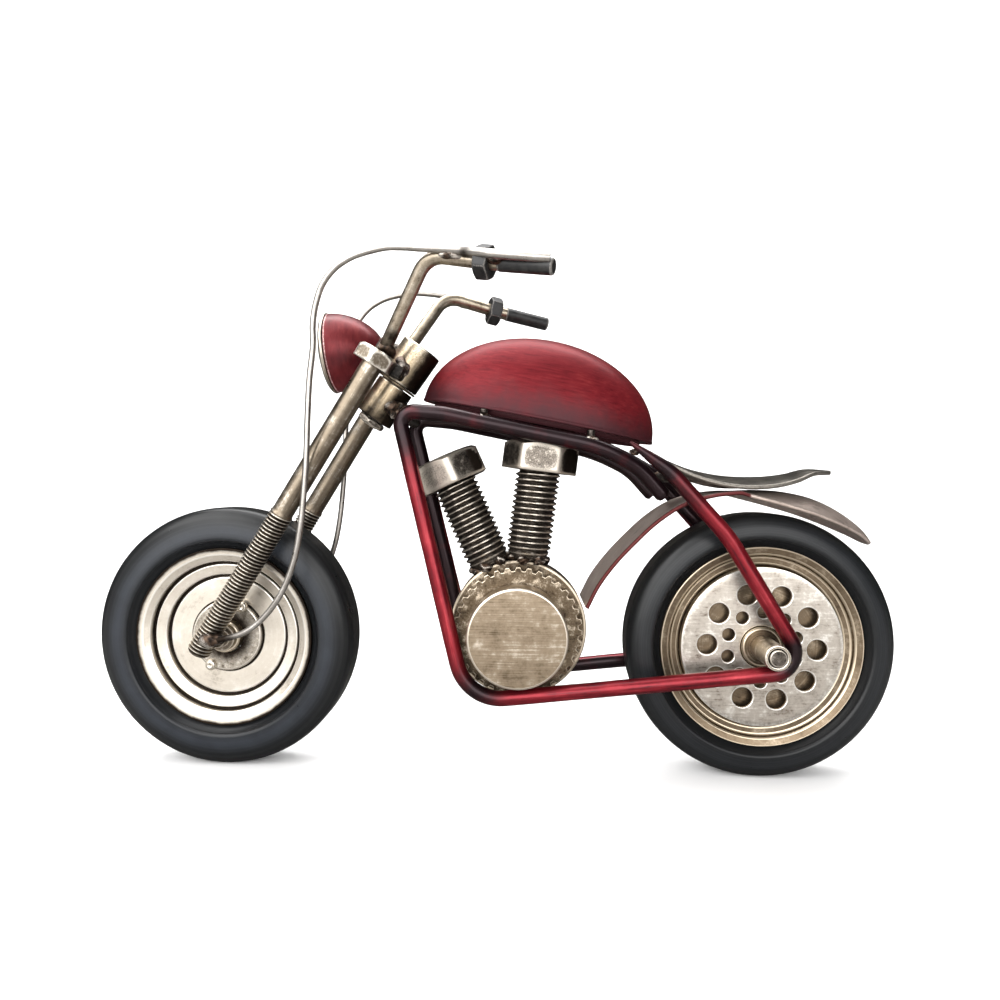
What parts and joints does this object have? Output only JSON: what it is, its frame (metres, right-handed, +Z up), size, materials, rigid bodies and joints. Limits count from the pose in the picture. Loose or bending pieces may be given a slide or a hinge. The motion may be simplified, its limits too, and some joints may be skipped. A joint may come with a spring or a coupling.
{
  "type": "toy motorcycle",
  "caption": "Small metal chopper motorcycle ornament built from bent rod, hex bolts and pressed sheet, with a turning fork and free-spinning wheels.",
  "frame": {"origin": "on the ground, at the middle of the bounding box seen from above, midway between the two wheels", "axes": "-X to the front wheel, +X to the rear wheel, -Y to the bike's left side, +Z up"},
  "size_m": [0.2814, 0.081, 0.1783],
  "materials": {
    "bronze": "steel with an antique bronze wash, worn bright at the edges",
    "champagne": "bright champagne-coloured steel, turned and lightly mottled",
    "red_lacquer": "candy red lacquer over brushed steel, burnt brown near the welds",
    "dark_steel": "gunmetal steel with weld colours",
    "seat_metal": "dark olive grey satin",
    "taupe_metal": "taupe satin with darker edges",
    "tyre_rubber": "semi-gloss black",
    "black_paint": "black enamel",
    "bright_wire": "bright drawn steel wire",
    "lens_metal": "domed metal face in the lamp's bezel"
  },
  "bodies": {
    "frame": {"cylinder_bolt_front": "dark_steel", "cylinder_bolt_rear": "dark_steel", "engine_cap_left": "champagne", "engine_cap_right": "champagne", "engine_drum": "bronze", "frame_loop_left": "red_lacquer", "frame_loop_right": "red_lacquer", "fuel_tank": "red_lacquer", "head_crossbar": "dark_steel", "head_tube": "bronze", "rear_axle": "dark_steel", "rear_fender": "taupe_metal", "rear_spacer_left": "champagne", "rear_spacer_right": "champagne", "seat_crossbar": "dark_steel", "seat_pan": "seat_metal", "tank_floor": "red_lacquer", "tank_lug_front_left": "dark_steel", "tank_lug_front_right": "dark_steel", "tank_lug_rear_left": "dark_steel", "tank_lug_rear_right": "dark_steel", "toothed_ring_left": "bronze", "toothed_ring_right": "bronze"},
    "fork": {"brake_wire_left": "bright_wire", "brake_wire_right": "bright_wire", "crown_arm_left": "dark_steel", "crown_arm_right": "dark_steel", "fork_leg_left": "bronze", "fork_leg_right": "bronze", "front_axle": "dark_steel", "grip_left": "black_paint", "grip_nut_left": "black_paint", "grip_nut_right": "black_paint", "grip_right": "black_paint", "handlebar_left": "bronze", "handlebar_right": "bronze", "headlight_bezel": "bronze", "headlight_lens": "lens_metal", "headlight_shell": "red_lacquer", "headlight_stud": "dark_steel", "steering_boss": "bronze", "steering_stem": "dark_steel", "steering_washer": "champagne", "stem_nut": "dark_steel"},
    "front_wheel": {"front_flange_left": "champagne", "front_flange_right": "champagne", "front_hub": "bronze", "front_rim_left": "champagne", "front_rim_right": "champagne", "front_rivet_1_left": "champagne", "front_rivet_1_right": "champagne", "front_rivet_2_left": "champagne", "front_rivet_2_right": "champagne", "front_tyre": "tyre_rubber"},
    "rear_wheel": {"rear_disc_left": "champagne", "rear_disc_right": "champagne", "rear_hub": "bronze", "rear_rim_left": "bronze", "rear_rim_right": "bronze", "rear_tyre": "tyre_rubber"}
  },
  "joints": [
    {"name": "steering", "type": "hinge", "parent": "frame", "child": "fork", "pos_m": [-0.0341, 0, 0.1369], "axis": [0.5736, 0, 0.8192], "range_deg": [-30, 30]},
    {"name": "front_wheel_spin", "type": "hinge", "parent": "fork", "child": "front_wheel", "pos_m": [-0.0945, 0, 0.04616], "axis": [0, 1, 0], "continuous": true},
    {"name": "rear_wheel_spin", "type": "hinge", "parent": "frame", "child": "rear_wheel", "pos_m": [0.0945, 0, 0.04616], "axis": [0, 1, 0], "continuous": true}
  ]
}
